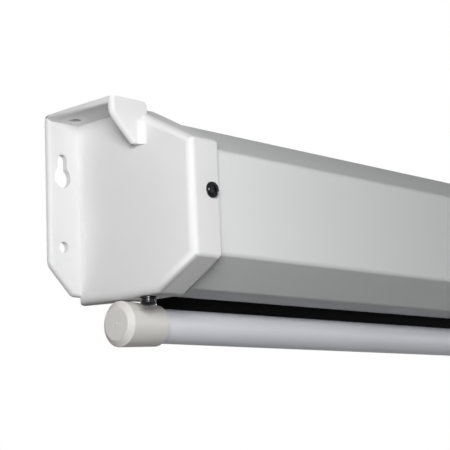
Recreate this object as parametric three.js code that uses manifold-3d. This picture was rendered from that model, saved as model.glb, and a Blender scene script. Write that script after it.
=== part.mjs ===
// Pull-down projection screen with a spring roller, in millimetres, +Z up.
// X runs along the case, +Y points at the wall, and the wall plane is Y = 0.
// The origin is at mid-length on the wall plane, level with the screws that the keyholes hang on.
import * as THREE from "three";
import { mergeVertices } from "three/addons/utils/BufferGeometryUtils.js";
import Module from "manifold-3d";

const wasm = await Module();
wasm.setup();

// Housing
const SPAN = 1330; // outer face of one end plate to the other
const CAP_HEIGHT = 96;
const CAP_DEPTH = 84;
const TOP_DEPTH = 40.7; // flat top, from the wall to the upper slope
const UPPER_SLOPE_HEIGHT = 23.8;
const LOWER_SLOPE_HEIGHT = 15.5;
const BOTTOM_DEPTH = 58; // flat bottom, from the wall to the lower slope
const PLATE = 3;
const SKIRT = 18.5;
const SKIRT_WALL = 2.4;
const CAP_ROUND = 4; // rounding between end plate and skirt
const SKIRT_BACK = 40; // bottom skirt's full reach ends here, from the wall
const SKIRT_ROOT = 2.8; // bottom skirt's reach past the end plate at the wall
const CASE_GAP = 0.9; // skirt to case
const CASE_WALL = 1.2;
const LIP_BACK = 31; // rear edge of the front lip, from the wall
const REAR_LIP = 10;

// Flanges that fasten the housing to a wall or ceiling
const FLANGE = 19.2;
const FLANGE_WALL = 3;
const FLANGE_SHORT = 4; // wall flange ends this far above the cap's bottom
const FLANGE_CUT_WIDTH = 15;
const FLANGE_CUT_HEIGHT = 15;
const BEND_ROUND = 4; // outside of the bend from wall flange to top flange
const TAB_FRONT = 51.2; // front face of the tab, from the wall
const TAB_HEIGHT = 21.9;
const TAB_PROUD = 3.7; // tab's reach past the end face, above the slope
const TAB_FOOT = 5.1; // width of the tab's bottom edge outside the end face
const TAB_SHOULDER = 8.6; // top down to the start of the slanted edge
const TAB_ROUND = 2.6;
const TAB_FILLET = 3.7;
const HOLE_LINE = 10.6; // wall flange holes, out from the end face
const KEYHOLE_DROP = 22.4; // top of the cap down to the hanging screw
const KEYHOLE_SLOT = 5.8;
const KEYHOLE_EYE = 10.5;
const KEYHOLE_EYE_DROP = 9.2; // hanging screw down to the eye's centre
const LOWER_HOLE_RISE = 28.5; // bottom of the cap up to the lower hole
const SCREW_HOLE = 6;
const TOP_HOLE_LINE = 8.6;
const TOP_HOLE_BACK = 11;
const TOP_HOLE_PITCH = 28.6;

// Cap screws and washers
const SCREW_FROM_END = 13.5;
const SCREW_DROP = 48.5;
const BOTTOM_SCREW_FROM_END = 7;
const BOTTOM_SCREW_FROM_WALL = 45;
const HEAD_RADIUS = 4;
const HEAD_HEIGHT = 2.4;
const HEAD_RIM = 0.5;
const HEAD_FLAT = 1.2; // radius of the flat middle of the head
const RECESS_LENGTH = 4.2;
const RECESS_WIDTH = 0.9;
const RECESS_DEPTH = 1.3;
const SHANK_RADIUS = 2;
const SHANK_LENGTH = 9;
const SEAT_GAP = 0.05;
const WASHER_RADIUS = 4.2;
const WASHER_THICKNESS = 0.9;
const LOCK_WASHER_RADIUS = 3.5;
const LOCK_WASHER_THICKNESS = 1.3;
const LOCK_WASHER_SPLIT = 0.8;

// Cloth
const CLOTH_MARGIN = 30; // end face of the housing to the cloth's edge
const CLOTH = 0.4; // thickness
const CLOTH_TRAVEL = 947.3; // 7.5 turns of the roller, so that the lock's notches are in line again
const CLOTH_RESERVE = 312.7; // stays on the roller when the screen is down
const CLOTH_BACK = 27; // hanging cloth, from the wall
const GAP = 0.3; // between pieces that touch or fit
const RUN_GAP = 0.6; // between pieces that turn past each other

// Roller
const ROLLER_DROP = 44; // top of the cap down to the roller's axis
const TUBE_RADIUS = 17.5;
const TUBE_WALL = 1;
const BOSS_WALL = 3;
const SOCKET_RADIUS = 9;
const SOCKET_LENGTH = 8.7;
const BOSS_LENGTH = 8;
const SHAFT_RADIUS = 4;
const SHAFT_REACH = 240; // shaft's inner end, from the end face
const TANG_WIDTH = 9;
const TANG_THICKNESS = 3;
const TANG_FROM_END = 5;
const RATCHET_RADIUS = 9;
const RATCHET_WIDTH = 4.4;
const PLUG_RUN = 1;
const PLUG_FLANGE = 3;
const PLUG_SPIGOT = 18;
const HUB_LENGTH = 12;
const IDLER_RADIUS = 3;
const IDLER_END = 6; // idler pin's outer end, from the end face

// Spring
const WIRE_RADIUS = 1.1;
const COIL_RADIUS = 8.5;
const COIL_PITCH = 8;
const COIL_TURNS = 23;
const COIL_SIDES = 5;
const COIL_STEPS = 8; // per turn
const GUIDE_LENGTH = 4;

// Lock pawls
const PAWL_ORBIT = 12.6; // pawl pin, from the roller's axis
const PAWL_EYE = 3;
const PAWL_NOSE = 1.3;
const PAWL_ARM = 7.9;
const PAWL_WIDTH = 3.2;
const PAWL_PIN_RADIUS = 1.5;
const PAWL_LIFT = THREE.MathUtils.degToRad(-24); // arm's direction with the pawl lifted
const PAWL_DROP = THREE.MathUtils.degToRad(-30); // turn from lifted to locked
const NOTCH_CLEARANCE = 0.5;

// Weight bar
const BAR_RADIUS = 8.9;
const BAR_WALL = 1.2;
const BAR_SLOT = 2.4;
const BAR_CAP_RADIUS = 11.5; // behind the chamfer, where the cap is widest
const BAR_CAP_NECK_RADIUS = 10.5; // at the inner end
const BAR_CAP_FACE_RADIUS = 8.3;
const BAR_CAP_LENGTH = 26.8;
const BAR_CAP_END = 6; // thickness of the cap's closed end
const BAR_CAP_CHAMFER = 2.2; // along the bar
const BAR_CAP_PLUG = 14;
const BAR_INSET = 1.7; // bar cap's end face, in from the housing's end face
const BAR_GAP = 0.3; // bar cap to the housing above it
const HEM_ROD_RADIUS = 2.2;
const WEIGHT_ROD_RADIUS = 3.2;
const ROD_END_GAP = 1;

// Pull handle
const BRACKET_LENGTH = 46;
const BRACKET_WIDTH = 13;
const BRACKET_HUG = 4; // bracket's rise past the tube's lowest line
const BRACKET_FLOOR = 4.5; // below the tube's lowest line
const EAR_THICKNESS = 3;
const EAR_RADIUS = 4.2;
const KNUCKLE_LENGTH = 16;
const KNUCKLE_RADIUS = 4.4;
const HANDLE_PIN_RADIUS = 1.8;
const HANDLE_WIDTH = 60;
const HANDLE_HEIGHT = 36;
const HANDLE_THICKNESS = 6;
const HANDLE_RIM = 7;
const HANDLE_ROUND = 10;
const HANDLE_NECK = 5;
const HANDLE_SCREW_SPACING = 33;
const HANDLE_SCREW_RADIUS = 1.5;
const HANDLE_SCREW_HEAD = 2.9;
const HANDLE_SCREW_HEAD_HEIGHT = 1.8;

// Facets
const ROUND = 40;
const SMALL_ROUND = 24;
const FILLET_STEPS = 4;
const ARC_STEPS = 8;
const NOTCH_STEPS = 6; // turns of the pawl that its notch is cut with
const CUT = 2; // overrun of every cut

// Worked out from the sizes above
const CASE_INSET = SKIRT_WALL + CASE_GAP;
const CLOTH_WIDTH = SPAN - 2 * CLOTH_MARGIN;
const TOP_Z = KEYHOLE_DROP;
const ROLL_RADIUS = Math.sqrt(TUBE_RADIUS ** 2 + ((CLOTH_TRAVEL + CLOTH_RESERVE) * CLOTH) / Math.PI);
const ROLLER_BACK = CLOTH_BACK + CLOTH / 2 + GAP + ROLL_RADIUS;
const SOCKET_END = PLATE + GAP + SOCKET_LENGTH;
const RATCHET_START = SOCKET_END + RUN_GAP;
const PLUG_START = RATCHET_START + RATCHET_WIDTH + PLUG_RUN;
const TUBE_START = PLUG_START + PLUG_FLANGE + GAP;
const TUBE_BORE = TUBE_RADIUS - TUBE_WALL;
const HUB_START = PLUG_START + PLUG_FLANGE + PLUG_SPIGOT;
const HUB_RADIUS = COIL_RADIUS * Math.cos(Math.PI / COIL_STEPS) - WIRE_RADIUS - GAP;
const COIL_START = HUB_START + WIRE_RADIUS + GAP;
const COIL_LENGTH = COIL_TURNS * COIL_PITCH;
const BAR_DROP = CAP_HEIGHT + BAR_GAP + BAR_CAP_RADIUS;
const BAR_BORE = BAR_RADIUS - BAR_WALL;
const BAR_TUBE_START = BAR_INSET + BAR_CAP_END + GAP;
const BAR_ROD_START = BAR_INSET + BAR_CAP_END + BAR_CAP_PLUG + ROD_END_GAP;
const HEM_ROD_RISE = BAR_BORE - GAP - HEM_ROD_RADIUS;
const PIN_DROP = BAR_RADIUS + BRACKET_FLOOR + KNUCKLE_RADIUS + GAP;

// Materials
function finish(color, roughness, metalness) {
  return () => new THREE.MeshStandardMaterial({ color, roughness, metalness });
}
const whitePaint = finish("#e4e6e7", 0.45, 0);
const whitePlastic = finish("#e6e6e6", 0.5, 0);
const warmPlastic = finish("#dcd9d5", 0.55, 0);
const satinBar = finish("#cdd0d8", 0.4, 0.1);
const darkChrome = finish("#3a3a3c", 0.2, 1);
const zincSteel = finish("#a8acb0", 0.35, 1);
const springSteel = finish("#6d7074", 0.4, 1);
const blackNylon = finish("#26272a", 0.6, 0);
const blackCloth = finish("#121214", 0.9, 0);

// Axes that an outline is swept along, as the directions of its two axes and of the sweep
const X_AXIS = new THREE.Vector3(1, 0, 0);
const Y_AXIS = new THREE.Vector3(0, 1, 0);
const Z_AXIS = new THREE.Vector3(0, 0, 1);
const ALONG_X = new THREE.Matrix4().makeBasis(Y_AXIS, Z_AXIS, X_AXIS);
const ALONG_Z = new THREE.Matrix4();
const TO_FRONT = new THREE.Matrix4().makeBasis(X_AXIS, Z_AXIS, Y_AXIS.clone().negate());
const LATHE_ON_X = new THREE.Matrix4().makeBasis(Y_AXIS, X_AXIS, Z_AXIS.clone().negate());

// Turns a closed three.js geometry into a solid that can be joined and cut.
function solid(geometry) {
  const bare = geometry.clone();
  bare.deleteAttribute("normal");
  bare.deleteAttribute("uv");
  const merged = mergeVertices(bare, 1e-4);
  const mesh = new wasm.Mesh({
    numProp: 3,
    vertProperties: merged.attributes.position.array,
    triVerts: new Uint32Array(merged.index.array),
  });
  return new wasm.Manifold(mesh);
}

// Turns a solid back into geometry with flat faces.
function geometryOf(body) {
  const mesh = body.getMesh();
  const geometry = new THREE.BufferGeometry();
  geometry.setAttribute("position", new THREE.BufferAttribute(mesh.vertProperties, 3));
  geometry.setIndex(new THREE.BufferAttribute(mesh.triVerts, 1));
  const flat = geometry.toNonIndexed();
  flat.computeVertexNormals();
  return flat;
}

function piece(name, body, material) {
  const mesh = new THREE.Mesh(geometryOf(body), material());
  mesh.name = name;
  return mesh;
}

// A box between two opposite corners.
function block(low, high) {
  const size = high.map((value, axis) => value - low[axis]);
  const geometry = new THREE.BoxGeometry(...size);
  geometry.translate(...low.map((value, axis) => value + size[axis] / 2));
  return solid(geometry);
}

// Sweeps an outline straight along one of the directions above, from a start for a length.
function sweep(shape, direction, start, length, curveSegments = ARC_STEPS) {
  const geometry = new THREE.ExtrudeGeometry(shape, { depth: length, bevelEnabled: false, curveSegments });
  geometry.translate(0, 0, start);
  return solid(geometry.applyMatrix4(direction));
}

// Spins a closed profile of [radius, x] points round the X axis.
function turned(profile, segments = SMALL_ROUND) {
  const points = profile.map(([radius, x]) => new THREE.Vector2(radius, x));
  const geometry = new THREE.LatheGeometry([...points, points[0].clone()], segments);
  return solid(geometry.applyMatrix4(LATHE_ON_X));
}

function rod(radius, from, to, segments) {
  return turned([[0, from], [radius, from], [radius, to], [0, to]], segments);
}

function ring(bore, radius, from, to, segments) {
  return turned([[bore, from], [radius, from], [radius, to], [bore, to]], segments);
}

// A rod that stands on the XY plane.
function post(radius, from, to, segments = SMALL_ROUND) {
  const geometry = new THREE.CylinderGeometry(radius, radius, to - from, segments);
  geometry.rotateX(Math.PI / 2);
  geometry.translate(0, 0, (from + to) / 2);
  return solid(geometry);
}

function outline(points) {
  return new THREE.Shape(points.map(([across, up]) => new THREE.Vector2(across, up)));
}

function circle(x, y, radius) {
  return new THREE.Shape().absarc(x, y, radius, 0, 2 * Math.PI);
}

// Moves each side of a convex outline inwards by a distance; the outline runs clockwise.
function inset(points, distance) {
  return points.map((corner, index) => {
    const before = points[(index + points.length - 1) % points.length];
    const after = points[(index + 1) % points.length];
    const inDirection = direction(before, corner);
    const outDirection = direction(corner, after);
    const turn = inDirection[0] * outDirection[1] - inDirection[1] * outDirection[0];
    const shift = distance / turn;
    return [
      corner[0] + shift * (inDirection[0] - outDirection[0]),
      corner[1] + shift * (inDirection[1] - outDirection[1]),
    ];
  });
}

function direction(from, to) {
  const run = Math.hypot(to[0] - from[0], to[1] - from[1]);
  return [(to[0] - from[0]) / run, (to[1] - from[1]) / run];
}

// Section of the cap in [y, z], wall side at y = 0 and top at z = 0.
const CAP_SECTION = [
  [0, 0],
  [0, -CAP_HEIGHT],
  [-BOTTOM_DEPTH, -CAP_HEIGHT],
  [-CAP_DEPTH, LOWER_SLOPE_HEIGHT - CAP_HEIGHT],
  [-CAP_DEPTH, -UPPER_SLOPE_HEIGHT],
  [-TOP_DEPTH, 0],
];

// Outline of a link: an eye at the origin that tapers to a rounded nose.
function linkShape(eye, nose, length, heading) {
  const spread = Math.acos((eye - nose) / length);
  const across = length * Math.cos(heading);
  const up = length * Math.sin(heading);
  const shape = new THREE.Shape();
  shape.absarc(0, 0, eye, heading + spread, heading - spread, false);
  shape.absarc(across, up, nose, heading - spread, heading + spread);
  return shape;
}

// End cap. X = 0 is its outer face, +X runs into the case, and Z = 0 is its top.

function capShell() {
  const core = outline(inset(CAP_SECTION, CAP_ROUND));
  const rounded = new THREE.ExtrudeGeometry(core, {
    depth: SKIRT,
    bevelThickness: CAP_ROUND,
    bevelSize: CAP_ROUND,
    bevelSegments: FILLET_STEPS,
  });
  rounded.translate(0, 0, CAP_ROUND);
  rounded.applyMatrix4(ALONG_X);
  const far = SKIRT + 2 * CAP_ROUND + CUT;
  const beyond = block([SKIRT, -CAP_DEPTH - CUT, -CAP_HEIGHT - CUT], [far, CUT, CUT]);
  return solid(rounded).subtract(beyond);
}

// Square edges where the flanges run on from the cap's top and back.
function squareEdges() {
  const reach = CAP_ROUND + CUT;
  const top = block([0, -TOP_DEPTH, -FLANGE_WALL], [reach, 0, 0]);
  const back = block([0, -FLANGE_WALL, FLANGE_SHORT - CAP_HEIGHT], [reach, 0, 0]);
  return top.add(back);
}

function wallFlange() {
  const low = FLANGE_SHORT - CAP_HEIGHT;
  const shape = new THREE.Shape();
  shape.moveTo(CAP_ROUND, 0);
  shape.lineTo(CAP_ROUND, low);
  shape.lineTo(FLANGE_CUT_WIDTH - FLANGE, low);
  shape.lineTo(-FLANGE, low + FLANGE_CUT_HEIGHT);
  shape.lineTo(-FLANGE, 0);
  shape.holes.push(keyhole());
  shape.holes.push(circle(-HOLE_LINE, LOWER_HOLE_RISE - CAP_HEIGHT, SCREW_HOLE / 2));
  return sweep(shape, TO_FRONT, 0, FLANGE_WALL);
}

// The screw's head goes in at the round eye and hangs at the slot's top.
function keyhole() {
  const eye = KEYHOLE_EYE / 2;
  const slot = KEYHOLE_SLOT / 2;
  const half = Math.asin(slot / eye);
  const path = new THREE.Path();
  path.absarc(-HOLE_LINE, -KEYHOLE_DROP, slot, 0, Math.PI);
  path.absarc(-HOLE_LINE, -KEYHOLE_DROP - KEYHOLE_EYE_DROP, eye, Math.PI / 2 + half, Math.PI / 2 - half);
  return path;
}

function topFlange() {
  const shape = outline([
    [-FLANGE, 0],
    [-FLANGE, -TAB_FRONT],
    [CAP_ROUND, -TAB_FRONT],
    [CAP_ROUND, 0],
  ]);
  for (const back of [TOP_HOLE_BACK, TOP_HOLE_BACK + TOP_HOLE_PITCH]) {
    shape.holes.push(circle(-TOP_HOLE_LINE, -back, SCREW_HOLE / 2));
  }
  const plate = sweep(shape, ALONG_Z, -FLANGE_WALL, FLANGE_WALL);
  const nearCorner = [TAB_PROUD, -TAB_FRONT - CUT, -FLANGE_WALL - CUT];
  const overhang = block(nearCorner, [CAP_ROUND + CUT, -TOP_DEPTH, CUT]);
  return plate.subtract(overhang).subtract(tabRoundCut());
}

// Tab that folds down at the front of the top flange and joins the end face.
function frontTab() {
  const shape = new THREE.Shape();
  shape.moveTo(-FLANGE, 0);
  shape.lineTo(TAB_PROUD - TAB_ROUND, 0);
  shape.absarc(TAB_PROUD - TAB_ROUND, -TAB_ROUND, TAB_ROUND, Math.PI / 2, 0, true);
  shape.lineTo(TAB_PROUD, -TAB_HEIGHT);
  shape.lineTo(-TAB_FOOT, -TAB_HEIGHT);
  shape.lineTo(-FLANGE, -TAB_SHOULDER);
  return sweep(shape, TO_FRONT, TAB_FRONT - FLANGE_WALL, FLANGE_WALL);
}

// Height of the upper slope at a distance from the wall.
function slopeAt(back) {
  return (-UPPER_SLOPE_HEIGHT * (back - TOP_DEPTH)) / (CAP_DEPTH - TOP_DEPTH);
}

// Fills the wedge between the slope and the tab, so that the tab stands on the end plate.
function tabWedge() {
  const shape = outline([
    [-TOP_DEPTH, 0],
    [-TOP_DEPTH, -CAP_ROUND - FLANGE_WALL],
    [-TAB_FRONT, slopeAt(TAB_FRONT) - CAP_ROUND - FLANGE_WALL],
    [-TAB_FRONT, 0],
  ]);
  const wedge = sweep(shape, ALONG_X, 0, TAB_PROUD);
  return wedge.subtract(tabRoundCut());
}

// Cut that rounds the tab's upper corner, back to the end of the cap's flat top.
function tabRoundCut() {
  const shape = new THREE.Shape();
  shape.moveTo(TAB_PROUD - TAB_ROUND, CUT);
  shape.lineTo(TAB_PROUD - TAB_ROUND, 0);
  shape.absarc(TAB_PROUD - TAB_ROUND, -TAB_ROUND, TAB_ROUND, Math.PI / 2, 0, true);
  shape.lineTo(TAB_PROUD + CUT, -TAB_ROUND);
  shape.lineTo(TAB_PROUD + CUT, CUT);
  return sweep(shape, TO_FRONT, TOP_DEPTH, TAB_FRONT - TOP_DEPTH + CUT);
}

// Hollow corner between the tab's front and the end face.
function tabFillet() {
  const shape = new THREE.Shape();
  shape.moveTo(-TAB_FILLET, -TAB_FRONT);
  shape.absarc(-TAB_FILLET, -TAB_FRONT - TAB_FILLET, TAB_FILLET, Math.PI / 2, 0, true);
  shape.lineTo(PLATE, -TAB_FRONT - TAB_FILLET);
  shape.lineTo(PLATE, -TAB_FRONT);
  const front = -TAB_FRONT - TAB_FILLET;
  const shadow = outline([
    [-TAB_FRONT + CUT, slopeAt(TAB_FRONT - CUT) - CAP_ROUND],
    [-TAB_FRONT + CUT, -TAB_HEIGHT],
    [front - CUT, -TAB_HEIGHT],
    [front - CUT, slopeAt(TAB_FRONT + TAB_FILLET + CUT) - CAP_ROUND],
  ]);
  const reach = TAB_FILLET + CUT;
  const column = sweep(shape, ALONG_Z, -TAB_HEIGHT - CUT, TAB_HEIGHT + CUT);
  return column.intersect(sweep(shadow, ALONG_X, -reach, reach + PLATE));
}

// Space for the case inside the skirt.
function capHollow() {
  return sweep(outline(inset(CAP_SECTION, SKIRT_WALL)), ALONG_X, PLATE, SKIRT + CUT - PLATE);
}

// Cut that narrows the bottom skirt towards the wall, where the cloth comes down beside it.
function skirtNotch() {
  const shape = outline([
    [PLATE + SKIRT_ROOT, 0],
    [PLATE + SKIRT_ROOT, CUT],
    [SKIRT + CUT, CUT],
    [SKIRT + CUT, -SKIRT_BACK],
    [SKIRT, -SKIRT_BACK],
  ]);
  return sweep(shape, ALONG_Z, -CAP_HEIGHT - CUT, SKIRT_WALL + 2 * CUT);
}

// Cut that rounds the bend from the wall flange to the top flange, and the cap's edge in line with it.
function topBend() {
  const shape = new THREE.Shape();
  shape.moveTo(-BEND_ROUND, CUT);
  shape.lineTo(-BEND_ROUND, 0);
  shape.absarc(-BEND_ROUND, -BEND_ROUND, BEND_ROUND, Math.PI / 2, 0, true);
  shape.lineTo(CUT, -BEND_ROUND);
  shape.lineTo(CUT, CUT);
  return sweep(shape, ALONG_X, -FLANGE - CUT, FLANGE + SKIRT + 2 * CUT);
}

// Boss that holds the tang's socket or the idler's bush.
function capBoss() {
  const bore = SOCKET_RADIUS + GAP;
  const boss = ring(bore, bore + BOSS_WALL, PLATE - GAP, PLATE + BOSS_LENGTH, ROUND);
  return boss.translate([0, -ROLLER_BACK, -ROLLER_DROP]);
}

function frontScrewHole(radius) {
  const hole = post(radius, -CUT, 2 * CASE_INSET + CUT).rotate([-90, 0, 0]);
  return hole.translate([SCREW_FROM_END, -CAP_DEPTH, -SCREW_DROP]);
}

function bottomScrewHole(radius) {
  const hole = post(radius, -CUT, 2 * CASE_INSET + CUT);
  return hole.translate([BOTTOM_SCREW_FROM_END, -BOTTOM_SCREW_FROM_WALL, -CAP_HEIGHT]);
}

function endCap() {
  const raised = capShell().add(squareEdges()).add(tabWedge());
  const outside = raised.add(wallFlange()).add(topFlange()).add(frontTab()).add(tabFillet());
  const opened = outside.subtract(capHollow()).subtract(skirtNotch()).subtract(topBend());
  const hole = SHANK_RADIUS + GAP;
  return opened.add(capBoss()).subtract(frontScrewHole(hole)).subtract(bottomScrewHole(hole));
}

// Cap screw, head up from Z = 0 and shank down.
function capScrew(stack) {
  const shoulder = HEAD_HEIGHT - HEAD_RIM;
  const steps = 4;
  const profile = [[0, -SHANK_LENGTH - stack]];
  profile.push([SHANK_RADIUS, -SHANK_LENGTH - stack]);
  profile.push([SHANK_RADIUS, 0]);
  profile.push([HEAD_RADIUS, 0]);
  for (let step = 0; step <= steps; step += 1) {
    const angle = (Math.PI / 2) * (step / steps);
    const radius = HEAD_FLAT + (HEAD_RADIUS - HEAD_FLAT) * Math.cos(angle);
    profile.push([radius, HEAD_RIM + shoulder * Math.sin(angle)]);
  }
  profile.push([0, HEAD_HEIGHT]);
  const body = turned(profile).rotate([0, -90, 0]);
  const half = RECESS_LENGTH / 2;
  const side = RECESS_WIDTH / 2;
  const floor = HEAD_HEIGHT - RECESS_DEPTH;
  const across = block([-half, -side, floor], [half, side, HEAD_HEIGHT + CUT]);
  return body.subtract(across).subtract(across.rotate([0, 0, 90]));
}

function washer() {
  const bore = post(SHANK_RADIUS + GAP, -CUT, WASHER_THICKNESS + CUT);
  return post(WASHER_RADIUS, 0, WASHER_THICKNESS).subtract(bore);
}

function lockWasher() {
  const bore = post(SHANK_RADIUS + GAP, -CUT, LOCK_WASHER_THICKNESS + CUT);
  const split = block([0, -LOCK_WASHER_SPLIT / 2, -CUT], [
    LOCK_WASHER_RADIUS + CUT,
    LOCK_WASHER_SPLIT / 2,
    LOCK_WASHER_THICKNESS + CUT,
  ]);
  return post(LOCK_WASHER_RADIUS, 0, LOCK_WASHER_THICKNESS).subtract(bore).subtract(split);
}

// Case, in the cap's own frame along its whole length.
function caseShell() {
  const start = PLATE + GAP;
  const length = SPAN - 2 * start;
  const outer = sweep(outline(inset(CAP_SECTION, CASE_INSET)), ALONG_X, start, length);
  const inner = outline(inset(CAP_SECTION, CASE_INSET + CASE_WALL));
  const bore = sweep(inner, ALONG_X, start - CUT, length + 2 * CUT);
  const slotBack = -CASE_INSET - REAR_LIP;
  const floor = CASE_INSET - CAP_HEIGHT;
  const slot = block([start - CUT, -LIP_BACK, floor - CUT], [SPAN, slotBack, floor + CASE_WALL + CUT]);
  let shell = outer.subtract(bore).subtract(slot);
  const hole = SHANK_RADIUS + GAP;
  for (const holes of [frontScrewHole(hole), bottomScrewHole(hole)]) {
    shell = shell.subtract(holes).subtract(holes.mirror([1, 0, 0]).translate([SPAN, 0, 0]));
  }
  return shell;
}

// Roller and lock, on the X axis, with X = 0 at the left end face.

function shaftSocket() {
  const body = rod(SOCKET_RADIUS, PLATE + GAP, SOCKET_END, ROUND);
  const half = TANG_WIDTH / 2 + GAP;
  const side = TANG_THICKNESS / 2 + GAP;
  return body.subtract(block([TANG_FROM_END - GAP, -side, -half], [SOCKET_END + CUT, side, half]));
}

function idlerBush() {
  return ring(IDLER_RADIUS + GAP, SOCKET_RADIUS, PLATE + GAP, SOCKET_END, ROUND);
}

function springShaft() {
  const half = TANG_WIDTH / 2;
  const side = TANG_THICKNESS / 2;
  const tang = block([TANG_FROM_END, -side, -half], [RATCHET_START, side, half]);
  return rod(SHAFT_RADIUS, SOCKET_END + GAP, SHAFT_REACH).add(tang);
}

// Collar with two notches, each cut by its pawl's arm at every step of its drop.
function ratchet() {
  const start = RATCHET_START + GAP;
  const grow = NOTCH_CLEARANCE;
  let wheel = ring(SHAFT_RADIUS + GAP, RATCHET_RADIUS, start, RATCHET_START + RATCHET_WIDTH, ROUND);
  for (let step = 0; step <= NOTCH_STEPS; step += 1) {
    const heading = PAWL_LIFT + PAWL_DROP * (step / NOTCH_STEPS);
    const arm = linkShape(PAWL_EYE + grow, PAWL_NOSE + grow, PAWL_ARM, heading);
    const slot = sweep(arm, ALONG_X, RATCHET_START - CUT, RATCHET_WIDTH + 2 * CUT);
    const notch = slot.translate([0, 0, PAWL_ORBIT]);
    wheel = wheel.subtract(notch).subtract(notch.rotate([180, 0, 0]));
  }
  return wheel;
}

function pawl() {
  const start = RATCHET_START + GAP;
  const shape = linkShape(PAWL_EYE, PAWL_NOSE, PAWL_ARM, PAWL_LIFT);
  shape.holes.push(circle(0, 0, PAWL_PIN_RADIUS + GAP));
  return sweep(shape, ALONG_X, start, PAWL_WIDTH);
}

function pawlPin() {
  return rod(PAWL_PIN_RADIUS, RATCHET_START, PLUG_START + PLUG_FLANGE);
}

// Flange and spigot of a roller plug, with a bore for what runs or sits in it.
function plug(bore) {
  const flangeEnd = PLUG_START + PLUG_FLANGE;
  return turned([
    [bore, PLUG_START],
    [TUBE_RADIUS, PLUG_START],
    [TUBE_RADIUS, flangeEnd],
    [TUBE_BORE - GAP, flangeEnd],
    [TUBE_BORE - GAP, HUB_START],
    [HUB_RADIUS, HUB_START],
    [HUB_RADIUS, HUB_START + HUB_LENGTH],
    [bore, HUB_START + HUB_LENGTH],
  ], ROUND);
}

function pawlPlug() {
  const pocketEnd = PLUG_START + PLUG_FLANGE + GAP;
  const hole = rod(PAWL_PIN_RADIUS + GAP, PLUG_START - CUT, pocketEnd);
  const pocket = hole.translate([0, 0, PAWL_ORBIT]);
  return plug(SHAFT_RADIUS + GAP).subtract(pocket).subtract(pocket.rotate([180, 0, 0]));
}

function idlerPin() {
  return rod(IDLER_RADIUS, IDLER_END, HUB_START + HUB_LENGTH);
}

function rollerTube() {
  return ring(TUBE_BORE, TUBE_RADIUS, TUBE_START, SPAN - TUBE_START, ROUND);
}

function clothRoll() {
  return ring(TUBE_RADIUS + GAP, ROLL_RADIUS, CLOTH_MARGIN, SPAN - CLOTH_MARGIN, ROUND);
}

// Helix about the X axis.
class Coil extends THREE.Curve {
  getPoint(share, target = new THREE.Vector3()) {
    const angle = 2 * Math.PI * COIL_TURNS * share;
    const x = COIL_START + COIL_LENGTH * share;
    return target.set(x, COIL_RADIUS * Math.cos(angle), COIL_RADIUS * Math.sin(angle));
  }
}

function torsionSpring() {
  const points = Array.from({ length: COIL_SIDES }, (unused, index) => {
    const angle = (2 * Math.PI * index) / COIL_SIDES;
    return [WIRE_RADIUS * Math.cos(angle), WIRE_RADIUS * Math.sin(angle)];
  });
  const steps = COIL_TURNS * COIL_STEPS;
  return solid(new THREE.ExtrudeGeometry(outline(points), { steps, extrudePath: new Coil() }));
}

// Anchors the spring's inner end on the shaft and centres the shaft in the tube.
function shaftGuide() {
  const bore = SHAFT_RADIUS + GAP;
  const discStart = COIL_START + COIL_LENGTH + WIRE_RADIUS + GAP;
  const discEnd = discStart + GUIDE_LENGTH;
  return turned([
    [bore, discStart - HUB_LENGTH],
    [HUB_RADIUS, discStart - HUB_LENGTH],
    [HUB_RADIUS, discStart],
    [TUBE_BORE - RUN_GAP, discStart],
    [TUBE_BORE - RUN_GAP, discEnd],
    [bore, discEnd],
  ], ROUND);
}

// Weight bar, on its own X axis with X = 0 at mid-length.

function barTube() {
  const half = SPAN / 2 - BAR_TUBE_START;
  const tube = ring(BAR_BORE, BAR_RADIUS, -half, half, ROUND);
  const side = BAR_SLOT / 2;
  const slot = block([-half - CUT, -side, 0], [half + CUT, side, BAR_RADIUS + CUT]);
  let body = tube.subtract(slot);
  for (const x of [-HANDLE_SCREW_SPACING / 2, HANDLE_SCREW_SPACING / 2]) {
    body = body.subtract(post(HANDLE_SCREW_RADIUS + GAP, -BAR_RADIUS - CUT, 0).translate([x, 0, 0]));
  }
  return body;
}

// Cap with X = 0 at its end face, +X into the tube.
function barCap() {
  const socket = BAR_RADIUS + GAP;
  const plugRadius = BAR_BORE - GAP;
  return turned([
    [0, 0],
    [BAR_CAP_FACE_RADIUS, 0],
    [BAR_CAP_RADIUS, BAR_CAP_CHAMFER],
    [BAR_CAP_NECK_RADIUS, BAR_CAP_LENGTH],
    [socket, BAR_CAP_LENGTH],
    [socket, BAR_CAP_END],
    [plugRadius, BAR_CAP_END],
    [plugRadius, BAR_CAP_END + BAR_CAP_PLUG],
    [0, BAR_CAP_END + BAR_CAP_PLUG],
  ], ROUND);
}

function barRod(radius) {
  const half = SPAN / 2 - BAR_ROD_START;
  return rod(radius, -half, half);
}

// Cloth between the roll and the bar's slot.
function clothSheet() {
  const side = CLOTH_WIDTH / 2;
  const low = HEM_ROD_RISE + HEM_ROD_RADIUS + GAP;
  const high = BAR_DROP - ROLLER_DROP;
  return block([-side, -CLOTH / 2, low], [side, CLOTH / 2, high]);
}

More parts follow.
